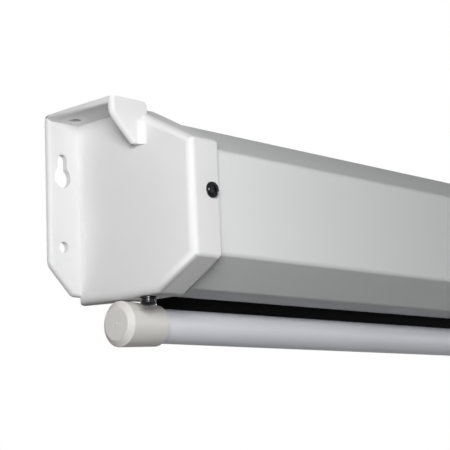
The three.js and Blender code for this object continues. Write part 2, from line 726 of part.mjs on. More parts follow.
// Saddle screwed under the tube, with two ears for the handle's pin.
function handleBracket() {
  const half = BRACKET_LENGTH / 2;
  const side = BRACKET_WIDTH / 2;
  const floor = -BAR_RADIUS - BRACKET_FLOOR;
  const seat = rod(BAR_RADIUS + GAP, -half - CUT, half + CUT, ROUND);
  let body = block([-half, -side, floor], [half, side, BRACKET_HUG - BAR_RADIUS]).subtract(seat);
  const ear = outline([
    [-EAR_RADIUS, floor + GAP],
    [EAR_RADIUS, floor + GAP],
    [EAR_RADIUS, -PIN_DROP],
    [-EAR_RADIUS, -PIN_DROP],
  ]);
  const pin = rod(HANDLE_PIN_RADIUS + GAP, -half, half).translate([0, 0, -PIN_DROP]);
  for (const start of [KNUCKLE_LENGTH / 2 + GAP, -KNUCKLE_LENGTH / 2 - GAP - EAR_THICKNESS]) {
    const round = rod(EAR_RADIUS, start, start + EAR_THICKNESS).translate([0, 0, -PIN_DROP]);
    body = body.add(sweep(ear, ALONG_X, start, EAR_THICKNESS)).add(round);
  }
  body = body.subtract(pin);
  for (const x of [-HANDLE_SCREW_SPACING / 2, HANDLE_SCREW_SPACING / 2]) {
    body = body.subtract(post(HANDLE_SCREW_RADIUS + GAP, floor - CUT, 0).translate([x, 0, 0]));
  }
  return body;
}

// Screw from below, head down from Z = 0.
function handleScrew() {
  const shank = post(HANDLE_SCREW_RADIUS, -GAP, BRACKET_FLOOR + BAR_WALL - SEAT_GAP);
  const side = RECESS_WIDTH / 2;
  const reach = HANDLE_SCREW_HEAD / 2;
  const slot = block([-reach, -side, -HANDLE_SCREW_HEAD_HEIGHT - CUT], [
    reach,
    side,
    -HANDLE_SCREW_HEAD_HEIGHT / 2,
  ]);
  const head = post(HANDLE_SCREW_HEAD, -HANDLE_SCREW_HEAD_HEIGHT, 0).add(shank);
  return head.subtract(slot).subtract(slot.rotate([0, 0, 90]));
}

function handlePin() {
  const half = KNUCKLE_LENGTH / 2 + GAP + EAR_THICKNESS;
  return rod(HANDLE_PIN_RADIUS, -half, half);
}

// Rounded outline hanging from a top line, for the handle's rim and its finger gap.
function handleOutline(width, top, bottom, round) {
  const half = width / 2;
  const shape = new THREE.Shape();
  shape.absarc(round - half, top - round, round, Math.PI / 2, Math.PI, false);
  shape.absarc(round - half, bottom + round, round, Math.PI, 1.5 * Math.PI, false);
  shape.absarc(half - round, bottom + round, round, 1.5 * Math.PI, 2 * Math.PI, false);
  shape.absarc(half - round, top - round, round, 0, Math.PI / 2, false);
  return shape;
}

// Handle, with its pin on the X axis.
function pullHandle() {
  const top = -KNUCKLE_RADIUS - HANDLE_NECK / 2;
  const bottom = top - HANDLE_HEIGHT;
  const shape = handleOutline(HANDLE_WIDTH, top, bottom, HANDLE_ROUND);
  const gapWidth = HANDLE_WIDTH - 2 * HANDLE_RIM;
  const gapRound = HANDLE_ROUND - HANDLE_RIM / 2;
  shape.holes.push(handleOutline(gapWidth, top - HANDLE_RIM, bottom + HANDLE_RIM, gapRound));
  const half = HANDLE_THICKNESS / 2;
  const ringPart = sweep(shape, TO_FRONT, -half, HANDLE_THICKNESS);
  const side = KNUCKLE_LENGTH / 2;
  const knuckle = rod(KNUCKLE_RADIUS, -side, side);
  const neck = block([-side, -half, top - HANDLE_RIM / 2], [side, half, 0]);
  const bore = rod(HANDLE_PIN_RADIUS + GAP, -side - CUT, side + CUT);
  return ringPart.add(knuckle).add(neck).subtract(bore);
}

// Assembly

// Pieces that both ends have, in the end cap's frame.
function endGroup(side) {
  const end = new THREE.Group();
  end.add(piece(`end_cap_${side}`, endCap(), whitePlastic));
  const front = piece(`cap_screw_front_${side}`, capScrew(0), darkChrome);
  front.position.set(SCREW_FROM_END, -CAP_DEPTH - SEAT_GAP, -SCREW_DROP);
  front.rotation.x = Math.PI / 2;
  const stack = WASHER_THICKNESS + LOCK_WASHER_THICKNESS + 2 * SEAT_GAP;
  const bottom = new THREE.Group();
  bottom.position.set(BOTTOM_SCREW_FROM_END, -BOTTOM_SCREW_FROM_WALL, -CAP_HEIGHT - SEAT_GAP);
  bottom.rotation.x = Math.PI;
  const flat = piece(`cap_washer_${side}`, washer(), darkChrome);
  const lock = piece(`lock_washer_${side}`, lockWasher(), darkChrome);
  const screw = piece(`cap_screw_bottom_${side}`, capScrew(stack), darkChrome);
  lock.position.z = WASHER_THICKNESS + SEAT_GAP;
  screw.position.z = stack;
  bottom.add(flat, lock, screw);
  end.add(front, bottom);
  return end;
}

function rollerGroup() {
  const roller = new THREE.Group();
  roller.position.set(-SPAN / 2, -ROLLER_BACK, TOP_Z - ROLLER_DROP);
  roller.add(piece("shaft_socket", shaftSocket(), blackNylon));
  roller.add(piece("spring_shaft", springShaft(), zincSteel));
  roller.add(piece("ratchet_collar", ratchet(), zincSteel));
  roller.add(piece("torsion_spring", torsionSpring(), springSteel));
  roller.add(piece("shaft_guide", shaftGuide(), blackNylon));
  roller.add(piece("pawl_plug", pawlPlug(), blackNylon));
  roller.add(piece("roller_tube", rollerTube(), zincSteel));
  roller.add(piece("cloth_roll", clothRoll(), blackCloth));
  for (const [name, side] of [["upper", 1], ["lower", -1]]) {
    const arm = new THREE.Group();
    arm.position.z = side * PAWL_ORBIT;
    arm.rotation.x = side > 0 ? 0 : Math.PI;
    arm.add(piece(`lock_pawl_${name}`, pawl(), zincSteel));
    arm.add(piece(`pawl_pin_${name}`, pawlPin(), zincSteel));
    roller.add(arm);
  }
  return roller;
}

function idlerGroup() {
  const idler = new THREE.Group();
  idler.position.set(SPAN / 2, -ROLLER_BACK, TOP_Z - ROLLER_DROP);
  idler.scale.x = -1;
  idler.add(piece("idler_bush", idlerBush(), blackNylon));
  idler.add(piece("idler_plug", plug(IDLER_RADIUS + GAP), blackNylon));
  idler.add(piece("idler_pin", idlerPin(), zincSteel));
  return idler;
}

function barGroup() {
  const bar = new THREE.Group();
  bar.position.set(0, -CLOTH_BACK, TOP_Z - BAR_DROP);
  bar.add(piece("bar_tube", barTube(), satinBar));
  for (const [name, side] of [["left", -1], ["right", 1]]) {
    const cap = piece(`bar_cap_${name}`, barCap(), warmPlastic);
    cap.position.x = side * (SPAN / 2 - BAR_INSET);
    cap.scale.x = -side;
    bar.add(cap);
  }
  const hemRod = piece("hem_rod", barRod(HEM_ROD_RADIUS), whitePlastic);
  hemRod.position.z = HEM_ROD_RISE;
  const weightRod = piece("weight_rod", barRod(WEIGHT_ROD_RADIUS), zincSteel);
  weightRod.position.z = WEIGHT_ROD_RADIUS + GAP - BAR_BORE;
  bar.add(hemRod, weightRod, piece("cloth_sheet", clothSheet(), blackCloth), handleGroup());
  return bar;
}

function handleGroup() {
  const group = new THREE.Group();
  group.add(piece("handle_bracket", handleBracket(), whitePlastic));
  for (const [name, side] of [["left", -1], ["right", 1]]) {
    const screw = piece(`handle_screw_${name}`, handleScrew(), darkChrome);
    screw.position.set((side * HANDLE_SCREW_SPACING) / 2, 0, -BAR_RADIUS - BRACKET_FLOOR - SEAT_GAP);
    group.add(screw);
  }
  const pin = piece("handle_pin", handlePin(), zincSteel);
  const handle = piece("pull_handle", pullHandle(), whitePlastic);
  pin.position.z = -PIN_DROP;
  handle.position.z = -PIN_DROP;
  group.add(pin, handle);
  return group;
}

const group = new THREE.Group();
const shell = piece("case_shell", caseShell(), whitePaint);
shell.position.set(-SPAN / 2, 0, TOP_Z);
const leftEnd = endGroup("left");
leftEnd.position.set(-SPAN / 2, 0, TOP_Z);
const rightEnd = endGroup("right");
rightEnd.position.set(SPAN / 2, 0, TOP_Z);
rightEnd.scale.x = -1;
group.add(shell, leftEnd, rightEnd, rollerGroup(), idlerGroup(), barGroup());

export default group;
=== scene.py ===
import math

import bmesh
import bpy
from mathutils import Matrix, Vector


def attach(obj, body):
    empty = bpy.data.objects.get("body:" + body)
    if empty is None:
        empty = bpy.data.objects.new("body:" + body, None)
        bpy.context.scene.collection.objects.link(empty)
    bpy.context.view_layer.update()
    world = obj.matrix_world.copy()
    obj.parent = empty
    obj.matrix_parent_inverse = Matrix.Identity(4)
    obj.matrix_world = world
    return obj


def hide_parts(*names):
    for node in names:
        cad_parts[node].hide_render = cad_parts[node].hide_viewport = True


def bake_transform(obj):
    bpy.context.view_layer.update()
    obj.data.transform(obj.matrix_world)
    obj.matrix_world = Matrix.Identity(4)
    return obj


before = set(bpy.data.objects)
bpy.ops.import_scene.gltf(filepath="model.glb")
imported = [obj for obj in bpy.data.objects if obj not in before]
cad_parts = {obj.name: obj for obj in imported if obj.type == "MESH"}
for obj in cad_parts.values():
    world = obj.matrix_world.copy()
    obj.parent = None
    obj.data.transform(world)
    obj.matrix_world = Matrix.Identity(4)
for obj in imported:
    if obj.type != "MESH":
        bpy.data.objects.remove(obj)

# Pull-down projection screen: a folded steel case between two moulded end caps, with the
# weight bar just below it. Lengths are in metres, and X runs along the case, +Y to the wall.
MM = 0.001
HALF = 665 * MM  # mid-length to a cap's end face
ROLLER_Y, ROLLER_Z = -49.103 * MM, -21.6 * MM  # the roller's axis
BAR_Y, BAR_Z = -27 * MM, -85.4 * MM  # the weight bar's axis
CLOTH_SIDE = 635 * MM  # mid-length to the cloth's edge
CLOTH_TOP, CLOTH_LOW = -21.6 * MM, -77.7 * MM  # the hanging cloth's ends at rest
DROP = 947.3 * MM  # how far the bar comes down
SPRING_START = 40.4 * MM  # end face to the spring's first turn
ENDS = (("left", -1), ("right", 1))

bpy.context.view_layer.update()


def linear(code):
    """An sRGB hex colour as the linear values that a shader takes."""
    shares = [int(code[i:i + 2], 16) / 255 for i in (1, 3, 5)]
    return [s / 12.92 if s <= 0.04045 else ((s + 0.055) / 1.055) ** 2.4 for s in shares] + [1.0]


# Materials

def add(tree, kind, settings=None, **inputs):
    """A node with its settings, its values and its links; _0 is its first input, _1 its second."""
    made = tree.nodes.new(kind)
    for name, value in (settings or {}).items():
        setattr(made, name, value)
    for name, value in inputs.items():
        key = int(name[1:]) if name[0] == "_" else name.replace("_", " ")
        socket = made.inputs[key]
        if isinstance(value, bpy.types.NodeSocket):
            tree.links.new(value, socket)
        else:
            socket.default_value = value
    return made


def new_finish(name, metal, rough, specular=0.5):
    """A material with its shader, and the place on the object in metres.

    A specular level below the usual 0.5 keeps the white surroundings from paling a surface that
    is seen at a grazing angle.
    """
    made = bpy.data.materials.new(name)
    made.use_nodes = True
    tree = made.node_tree
    shader = tree.nodes["Principled BSDF"]
    shader.inputs["Metallic"].default_value = metal
    shader.inputs["Roughness"].default_value = rough
    shader.inputs["Specular IOR Level"].default_value = specular
    place = add(tree, "ShaderNodeTexCoord").outputs["Object"]
    return made, tree, shader, place


def tint(tree, shader, amount, low, high):
    """Lets the colour go from one to another with an amount from 0 to 1."""
    mix = add(tree, "ShaderNodeMix", {"data_type": "RGBA"},
              _0=amount, _6=linear(low), _7=linear(high))
    tree.links.new(mix.outputs[2], shader.inputs["Base Color"])


def relief(tree, shader, height, depth, strength):
    """Raises the surface by a height, with its depth in metres."""
    bump = add(tree, "ShaderNodeBump", Strength=strength, Distance=depth, Height=height)
    tree.links.new(bump.outputs["Normal"], shader.inputs["Normal"])


def gloss_drift(tree, shader, amount, low, high):
    """Lets the roughness go from one value to another with an amount from 0 to 1."""
    drift = add(tree, "ShaderNodeMapRange", Value=amount, To_Min=low, To_Max=high)
    tree.links.new(drift.outputs["Result"], shader.inputs["Roughness"])


def powder_coat():
    """Polyester powder baked on folded steel: plain white, low in sheen, with a soft orange peel
    about 1.5 mm wide."""
    made, tree, shader, place = new_finish("powder_coated_steel", 0.0, 0.72, specular=0.04)
    peel = add(tree, "ShaderNodeTexNoise", Vector=place, Scale=650.0, Detail=2.0)
    cloud = add(tree, "ShaderNodeTexNoise", Vector=place, Scale=9.0, Detail=3.0)
    tint(tree, shader, cloud.outputs[0], "#e6e7e7", "#edeeee")
    gloss_drift(tree, shader, cloud.outputs[0], 0.68, 0.8)
    relief(tree, shader, peel.outputs[0], 0.00006, 0.6)
    return made


def moulded_cap():
    """ABS from a spark-eroded mould: white, low in sheen, with a fine even grain that is drawn at
    0.7 mm so that it shows."""
    made, tree, shader, place = new_finish("moulded_ABS", 0.0, 0.72, specular=0.12)
    grain = add(tree, "ShaderNodeTexNoise", Vector=place, Scale=1400.0, Detail=2.0)
    cloud = add(tree, "ShaderNodeTexNoise", Vector=place, Scale=30.0, Detail=3.0)
    tint(tree, shader, cloud.outputs[0], "#e3e3e3", "#eaeaea")
    gloss_drift(tree, shader, grain.outputs[0], 0.66, 0.78)
    relief(tree, shader, grain.outputs[0], 0.00003, 0.6)
    return made


def moulded_bar_cap():
    """Polypropylene from a plain mould: warm white, soft sheen, faint flow marks along the bar."""
    made, tree, shader, place = new_finish("moulded_polypropylene", 0.0, 0.5)
    flow = add(tree, "ShaderNodeMapping", Vector=place, Scale=(25.0, 260.0, 260.0))
    marks = add(tree, "ShaderNodeTexNoise", Vector=flow.outputs[0], Scale=1.0, Detail=3.0)
    tint(tree, shader, marks.outputs[0], "#d6d3cf", "#e0ddd9")
    gloss_drift(tree, shader, marks.outputs[0], 0.42, 0.56)
    relief(tree, shader, marks.outputs[0], 0.00003, 0.5)
    return made


def enamelled_tube():
    """Stoving enamel on drawn steel tube: pale blue grey satin, with the drawing lines faintly
    showing through."""
    made, tree, shader, place = new_finish("stove_enamelled_steel", 0.0, 0.45)
    lines = add(tree, "ShaderNodeMapping", Vector=place, Scale=(6.0, 900.0, 900.0))
    drawn = add(tree, "ShaderNodeTexNoise", Vector=lines.outputs[0], Scale=1.0, Detail=2.0)
    cloud = add(tree, "ShaderNodeTexNoise", Vector=place, Scale=18.0, Detail=2.0)
    tint(tree, shader, cloud.outputs[0], "#d9dbe2", "#e2e4ea")
    gloss_drift(tree, shader, drawn.outputs[0], 0.4, 0.5)
    relief(tree, shader, drawn.outputs[0], 0.00002, 0.4)
    return made


def black_nickel():
    """Black nickel plating on a tumbled steel screw: dark mirror with light handling scuffs."""
    made, tree, shader, place = new_finish("black_nickel_plated_steel", 1.0, 0.16)
    scuff = add(tree, "ShaderNodeTexNoise", Vector=place, Scale=900.0, Detail=4.0)
    tint(tree, shader, scuff.outputs[0], "#1b1b1d", "#333336")
    gloss_drift(tree, shader, scuff.outputs[0], 0.04, 0.12)
    relief(tree, shader, scuff.outputs[0], 0.00002, 0.4)
    return made


def zinc_plate():
    """Bright zinc plating on turned and pressed steel: pale grey with a spangle about 2 mm wide."""
    made, tree, shader, place = new_finish("zinc_plated_steel", 1.0, 0.35)
    spangle = add(tree, "ShaderNodeTexVoronoi", Vector=place, Scale=500.0)
    tint(tree, shader, spangle.outputs["Color"], "#a1a5a9", "#b4b8bb")
    gloss_drift(tree, shader, spangle.outputs["Distance"], 0.28, 0.42)
    relief(tree, shader, spangle.outputs["Distance"], 0.00002, 0.4)
    return made


def spring_wire():
    """Oiled patented spring wire: dark grey with drawing marks along it."""
    made, tree, shader, place = new_finish("oiled_spring_wire", 1.0, 0.38)
    marks = add(tree, "ShaderNodeTexNoise", Vector=place, Scale=1200.0, Detail=3.0)
    tint(tree, shader, marks.outputs[0], "#5f6366", "#7a7e82")
    gloss_drift(tree, shader, marks.outputs[0], 0.3, 0.46)
    return made


def black_nylon():
    """Black nylon from a matt mould: soft sheen and a faint grain."""
    made, tree, shader, place = new_finish("moulded_nylon", 0.0, 0.55)
    grain = add(tree, "ShaderNodeTexNoise", Vector=place, Scale=1500.0, Detail=2.0)
    tint(tree, shader, grain.outputs[0], "#202124", "#2b2c30")
    relief(tree, shader, grain.outputs[0], 0.00003, 0.5)
    return made


def extruded_rod():
    """Extruded white polyethylene rod: waxy, with faint die lines along it."""
    made, tree, shader, place = new_finish("extruded_polyethylene", 0.0, 0.5)
    lines = add(tree, "ShaderNodeMapping", Vector=place, Scale=(4.0, 1200.0, 1200.0))
    die = add(tree, "ShaderNodeTexNoise", Vector=lines.outputs[0], Scale=1.0, Detail=2.0)
    tint(tree, shader, die.outputs[0], "#dadada", "#e4e4e4")
    relief(tree, shader, die.outputs[0], 0.00003, 0.4)
    return made


# Scale of the waves that gives two threads of 0.5 mm to a wave
THREAD_SCALE = 314.0

# Black borders of the cloth: their width at the sides, and how far below the roll the upper one
# ends and the lower one starts when the screen is down
SIDE_BORDER = 25 * MM
UPPER_BORDER_END, LOWER_BORDER_START = 62 * MM, 977 * MM


def weave(tree, way):
    """Height of a plain weave, from the sheet's own map in metres."""
    across, down = [add(tree, "ShaderNodeTexWave", {"bands_direction": direction}, Vector=way,
                        Scale=THREAD_SCALE, Distortion=0.3) for direction in "XY"]
    higher = add(tree, "ShaderNodeMath", {"operation": "MAXIMUM"},
                 _0=across.outputs[1], _1=down.outputs[1])
    return higher.outputs[0]


def cloth_back():
    """Black PVC backing on woven glass yarn: matt, with the weave pressed through it."""
    made, tree, shader, place = new_finish("PVC_backed_glass_cloth", 0.0, 0.8, specular=0.0)
    way = add(tree, "ShaderNodeUVMap", {"uv_map": "flat"}).outputs[0]
    dust = add(tree, "ShaderNodeTexNoise", Vector=place, Scale=60.0, Detail=4.0)
    tint(tree, shader, dust.outputs[0], "#080809", "#0e0e0f")
    relief(tree, shader, weave(tree, way), 0.00005, 0.5)
    return made


def cloth_front():
    """Matt white viewing coat on the same cloth, inside painted black borders."""
    made, tree, shader, _ = new_finish("matt_white_coated_glass_cloth", 0.0, 0.85, specular=0.1)
    way = add(tree, "ShaderNodeUVMap", {"uv_map": "flat"}).outputs[0]
    across, down = add(tree, "ShaderNodeSeparateXYZ", Vector=way).outputs[:2]
    from_middle = add(tree, "ShaderNodeMath", {"operation": "ABSOLUTE"}, _0=across)
    at_side = add(tree, "ShaderNodeMath", {"operation": "GREATER_THAN"},
                  _0=from_middle.outputs[0], _1=CLOTH_SIDE - SIDE_BORDER)
    at_top = add(tree, "ShaderNodeMath", {"operation": "LESS_THAN"}, _0=down, _1=UPPER_BORDER_END)
    at_foot = add(tree, "ShaderNodeMath", {"operation": "GREATER_THAN"},
                  _0=down, _1=LOWER_BORDER_START)
    above_or_below = add(tree, "ShaderNodeMath", {"operation": "MAXIMUM"},
                         _0=at_top.outputs[0], _1=at_foot.outputs[0])
    border = add(tree, "ShaderNodeMath", {"operation": "MAXIMUM"},
                 _0=at_side.outputs[0], _1=above_or_below.outputs[0])
    tint(tree, shader, border.outputs[0], "#e9e9e7", "#060607")
    relief(tree, shader, weave(tree, way), 0.00004, 0.4)
    return made


POWDER_COAT = powder_coat()
CAP_PLASTIC = moulded_cap()
BAR_CAP_PLASTIC = moulded_bar_cap()
BAR_ENAMEL = enamelled_tube()
SCREW_PLATING = black_nickel()
ZINC = zinc_plate()
SPRING_WIRE = spring_wire()
NYLON = black_nylon()
ROD_PLASTIC = extruded_rod()
CLOTH_BACK = cloth_back()
CLOTH_FRONT = cloth_front()


# Shaping

def sharp(bm, least):
    """Edges whose faces turn by more than an angle in degrees."""
    return [e for e in bm.edges
            if len(e.link_faces) == 2 and e.calc_face_angle(0.0) > math.radians(least)]


def soften(bm, edges, size, segments, limited=True):
    """Rounds edges by a size in metres; where limited, by less at short sides."""
    bmesh.ops.bevel(bm, geom=edges, offset=size, offset_type="OFFSET", affect="EDGES",
                    segments=segments, profile=0.5, material=-1, clamp_overlap=limited)


def face_out(bm, face, out):
    """Turns all the faces of an open sheet to one side, so that this one looks out."""
    bmesh.ops.recalc_face_normals(bm, faces=bm.faces)
    if face.normal.dot(out) < 0:
        bmesh.ops.reverse_faces(bm, faces=bm.faces)


def piece(bm, name, body, finish, nodes, crease=32.0):
    """Makes a shaped mesh a piece that rides on a body and stands for its CAD nodes."""
    for face in bm.faces:
        face.smooth = True
    for edge in sharp(bm, crease):
        edge.smooth = False
    mesh = bpy.data.meshes.new(name)
    bm.to_mesh(mesh)
    bm.free()
    for material in finish if isinstance(finish, list) else [finish]:
        mesh.materials.append(material)
    made = bpy.data.objects.new(name, mesh)
    bpy.context.scene.collection.objects.link(made)
    if body:
        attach(made, body)
    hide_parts(*nodes)
    return made


def thicken(made, name, thickness, offset=-1):
    """Gives an open sheet its thickness, inwards unless another offset is given."""
    wall = made.modifiers.new(name, "SOLIDIFY")
    wall.thickness = thickness
    wall.offset = offset
    return wall


def even_shading(made):
    """Keeps the large flat faces flat beside their rounded edges."""
    weighted = made.modifiers.new("even_shading", "WEIGHTED_NORMAL")
    weighted.keep_sharp = True
    weighted.weight = 100


def whole_copy(node):
    """A copy of a CAD node with its loose triangles joined and its flat faces made whole."""
    bm = bmesh.new()
    bm.from_mesh(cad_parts[node].data)
    bmesh.ops.remove_doubles(bm, verts=bm.verts, dist=2e-6)
    bmesh.ops.dissolve_limit(bm, angle_limit=math.radians(0.3), use_dissolve_boundaries=False,
                             verts=bm.verts, edges=bm.edges)
    return bm


def spun(profile, centre, axis, steps):
    """Spins a profile of points round an axis through a centre."""
    bm = bmesh.new()
    points = [bm.verts.new(point) for point in profile]
    for first, second in zip(points, points[1:]):
        bm.edges.new((first, second))
    bmesh.ops.spin(bm, geom=bm.verts[:] + bm.edges[:], cent=centre, axis=axis, angle=math.tau,
                   steps=steps, use_merge=True, use_duplicate=False)
    bmesh.ops.remove_doubles(bm, verts=bm.verts, dist=1e-6)
    bmesh.ops.recalc_face_normals(bm, faces=bm.faces)
    return bm


def carve(bm, cutter):
    """Cuts one closed shape out of another."""
    shapes = []
    for shape in (bm, cutter):
        mesh = bpy.data.meshes.new("carving")
        shape.to_mesh(mesh)
        shape.free()
        made = bpy.data.objects.new("carving", mesh)
        bpy.context.scene.collection.objects.link(made)
        shapes.append(made)
    cut = shapes[0].modifiers.new("cut", "BOOLEAN")
    cut.operation = "DIFFERENCE"
    cut.object = shapes[1]
    cut.solver = "EXACT"
    bpy.context.view_layer.update()
    result = bmesh.new()
    result.from_object(shapes[0], bpy.context.evaluated_depsgraph_get())
    for made in shapes:
        mesh = made.data
        bpy.data.objects.remove(made)
        bpy.data.meshes.remove(mesh)
    return result


# Case

# Folds of the sheet in (y, z), in mm, from the rear edge of the cloth's slot to its front lip
CASE_FOLDS = [(-13.3, -70.3), (-3.3, -70.3), (-3.3, 19.1), (-39.853, 19.1),
              (-80.7, -4.6), (-80.7, -55.9), (-57.091, -70.3), (-31.0, -70.3)]
CASE_END = HALF - 3.3 * MM
BEND_REACH = 1.7 * MM
SHEET = 1.2 * MM


def case_shell():
    """One sheet folded round the roller; its two edges leave the cloth's slot open. Each bend is
    rounded from 1.7 mm before its fold to 1.7 mm past it."""
    bm = bmesh.new()
    line = [bm.verts.new((-CASE_END, y * MM, z * MM)) for y, z in CASE_FOLDS]
    edges = [bm.edges.new(pair) for pair in zip(line, line[1:])]
    swept = bmesh.ops.extrude_edge_only(bm, edges=edges)["geom"]
    far = [v for v in swept if isinstance(v, bmesh.types.BMVert)]
    bmesh.ops.translate(bm, verts=far, vec=(2 * CASE_END, 0, 0))
    front = min(bm.faces, key=lambda face: face.calc_center_median().y)
    face_out(bm, front, Vector((0, -1, 0)))
    soften(bm, sharp(bm, 5), BEND_REACH, 6)
    shell = piece(bm, "case_sheet", "case", POWDER_COAT, ["case_shell"], crease=40)
    thicken(shell, "sheet", SHEET).use_even_offset = True
    edge = shell.modifiers.new("edges", "BEVEL")
    edge.width = 0.25 * MM
    edge.segments = 2
    edge.limit_method = "ANGLE"
    edge.angle_limit = math.radians(60)
    even_shading(shell)


# End caps

# Bends of the skirt in (y, z), from the bottom round the front to the top; what isn't multiplied
# by MM is a number of mm here
SKIRT_BENDS = [(-58, -73.6), (-84, -58.1), (-84, -1.4), (-40.7, 22.4)]
END_ROUND = 4  # rounding between end face and skirt
SKIRT_END = 18.5  # end face to the skirt's open edge
SKIRT_CUT = 15.8  # end face to a cut round the skirt
CORNER_REACH, CORNER_DRAW = 1.6, 0.9  # part of the open edge drawn back at a bend, and how far
MOUTH_FROM, MOUTH_TO = 17.05, 18.55  # where all of the open edge then lies, from the end face
SKIRT_MIDDLE = Vector((0, -42 * MM, -26 * MM))
WALL_INSIDE, TOP_INSIDE, TAB_BACK = -3, 19.4, -48.2  # inner faces of wall flange, top flange, tab
HOLES_FROM, HOLES_TO = 5, 17  # the flanges' holes lie between these, out from the end face
NEAR = 0.3  # a rim this close to a face belongs to it
BEND_ROUNDING, RIM_ROUNDING, MOUTH_ROUNDING = 1.5 * MM, 2.2 * MM, 1.0 * MM


def inward(vert, side):
    """How far a point lies from the end face towards mid-length."""
    return (HALF - side * vert.co.x) / MM


def section(edge):
    """Where the middle of an edge lies in the cap's section, as y and z."""
    return (edge.verts[0].co + edge.verts[1].co).yz / 2 / MM


def from_bend(y, z):
    """Distance to the nearest bend of the skirt."""
    return min(math.hypot(y - bend_y, z - bend_z) for bend_y, bend_z in SKIRT_BENDS)


def skirt_bends(bm, side):
    """Edges along the skirt at its four bends, past the rounding of the end face."""
    found = []
    for edge in sharp(bm, 20):
        low, high = sorted(inward(v, side) for v in edge.verts)
        if from_bend(*section(edge)) < 0.1 and low > END_ROUND - 0.1 and high - low > 1:
            found.append(edge)
    return found


def flange_rims(bm, side):
    """Free edges of the flanges and of the tab, without the edges of their holes."""
    found = []
    for edge in sharp(bm, 40):
        out = [-inward(v, side) for v in edge.verts]
        y, z = section(edge)
        wall_holes = -50 < z < 3.5
        top_holes = z > 18.5 and y > -48
        beside_holes = HOLES_FROM < sum(out) / 2 < HOLES_TO and (wall_holes or top_holes)
        if edge.is_convex and min(out) > -4 and max(out) > 4 and not beside_holes:
            found.append(edge)
    return found


def facing_room(edge):
    """Whether a rim lies on the side of the flanges that shows: front, below or the tab's front."""
    y, z = section(edge)
    behind = y > -NEAR or z > 22 or (abs(y - TAB_BACK) < NEAR and z < 19)
    inside = abs(y - WALL_INSIDE) < NEAR or abs(z - TOP_INSIDE) < NEAR
    above_bend = y > -4.5 and z > 18 and not inside
    return not behind and not above_bend


def round_mouth_corners(bm, side):
    """Draws the skirt's open edge back round its bends, so that its corners are rounded there."""
    for vert in bm.verts:
        if abs(inward(vert, side) - SKIRT_END) > 0.05:
            continue
        away = from_bend(*(vert.co.yz / MM))
        if away < CORNER_REACH:
            vert.co.x += side * CORNER_DRAW * MM * (1 - away / CORNER_REACH) ** 2


def skirt_mouth(bm, side):
    """Outer edges of the skirt's open end."""
    found = []
    for edge in sharp(bm, 60):
        open_edge = all(MOUTH_FROM < inward(v, side) < MOUTH_TO for v in edge.verts)
        out = (edge.verts[0].co + edge.verts[1].co) / 2 - SKIRT_MIDDLE
        out.x = 0
        outside = any(abs(f.normal.x) < 0.2 and f.normal.dot(out) > 0 for f in edge.link_faces)
        if open_edge and edge.is_convex and outside:
            found.append(edge)
    return found


def end_caps():
    """Caps with rounded bends, rims and open edges; the cut round the skirt keeps what is drawn
    back at its corners out of the large faces."""
    for name, side in ENDS:
        node = "end_cap_" + name
        bm = whole_copy(node)
        soften(bm, skirt_bends(bm, side), BEND_ROUNDING, 5)
        rims = [e for e in flange_rims(bm, side) if facing_room(e)]
        soften(bm, rims, RIM_ROUNDING, 6, limited=False)
        bmesh.ops.bisect_plane(bm, geom=bm.verts[:] + bm.edges[:] + bm.faces[:], dist=1e-6,
                               plane_co=(side * (HALF - SKIRT_CUT * MM), 0, 0), plane_no=(1, 0, 0))
        round_mouth_corners(bm, side)
        soften(bm, skirt_mouth(bm, side), MOUTH_ROUNDING, 4, limited=False)
        bmesh.ops.remove_doubles(bm, verts=bm.verts, dist=1e-5)
        even_shading(piece(bm, "cap_" + name, "case", CAP_PLASTIC, [node]))


# Screws and washers

# Where the heads sit and where the flat washer lies at the right end, in mm
FRONT_SEAT = (651.5, -84.05, -26.1)
BOTTOM_SEAT = (658, -45, -75.95)
WASHER_SEAT = (658, -45, -73.65)

# Section of the flat washer in mm, as radius and height
WASHER_PROFILE = [(2.3, 0), (2.3, -0.9), (4.05, -0.9), (4.2, -0.75), (4.2, -0.15), (4.05, 0)]


def screw_profile(length):
    """Pan head with a domed top on a plain shank, from the tip round to the head's middle."""
    points = [(0, -length), (1.6, -length), (2, -length + 0.6), (2, 0), (3.85, 0), (4, 0.15),
              (4, 0.5)]
    for step in range(1, 9):
        turn = math.radians(90) * step / 8
        points.append((1.2 + 2.8 * math.cos(turn), 0.5 + 1.9 * math.sin(turn)))
    points.append((0, 2.4))
    return [(radius * MM, 0, height * MM) for radius, height in points]


def recess_arm(turn):
    """One arm of the cross recess, which narrows downwards to 1.5 mm below the head's top."""
    arm = bmesh.new()
    bmesh.ops.create_cube(arm, size=1.0)
    bmesh.ops.scale(arm, verts=arm.verts, vec=(4.4 * MM, 1.0 * MM, 2.0 * MM))
    low_corners = [v for v in arm.verts if v.co.z < 0]
    bmesh.ops.scale(arm, verts=low_corners, vec=(0.55, 0.7, 1))
    bmesh.ops.translate(arm, verts=arm.verts, vec=(0, 0, 1.9 * MM))
    bmesh.ops.rotate(arm, verts=arm.verts, cent=(0, 0, 0),
                     matrix=Matrix.Rotation(math.radians(turn), 3, "Z"))
    return arm


def screw(name, node, place, out, spin, length):
    """A screw whose head looks out at a place in mm, with its cross turned by a spin in degrees."""
    bm = spun(screw_profile(length), (0, 0, 0), (0, 0, 1), steps=64)
    bm = carve(carve(bm, recess_arm(0)), recess_arm(90))
    recess = [e for e in sharp(bm, 40) if e.calc_length() < 5 * MM and e.verts[0].co.z > 0.8 * MM]
    soften(bm, recess, 0.06 * MM, 2)
    turn = Matrix.Rotation(math.radians(spin), 4, "Z")
    aim = Vector((0, 0, 1)).rotation_difference(Vector(out)).to_matrix().to_4x4()
    move = Matrix.Translation(Vector(place) * MM)
    bmesh.ops.transform(bm, matrix=move @ aim @ turn, verts=bm.verts)
    even_shading(piece(bm, name, "case", SCREW_PLATING, [node], crease=30))


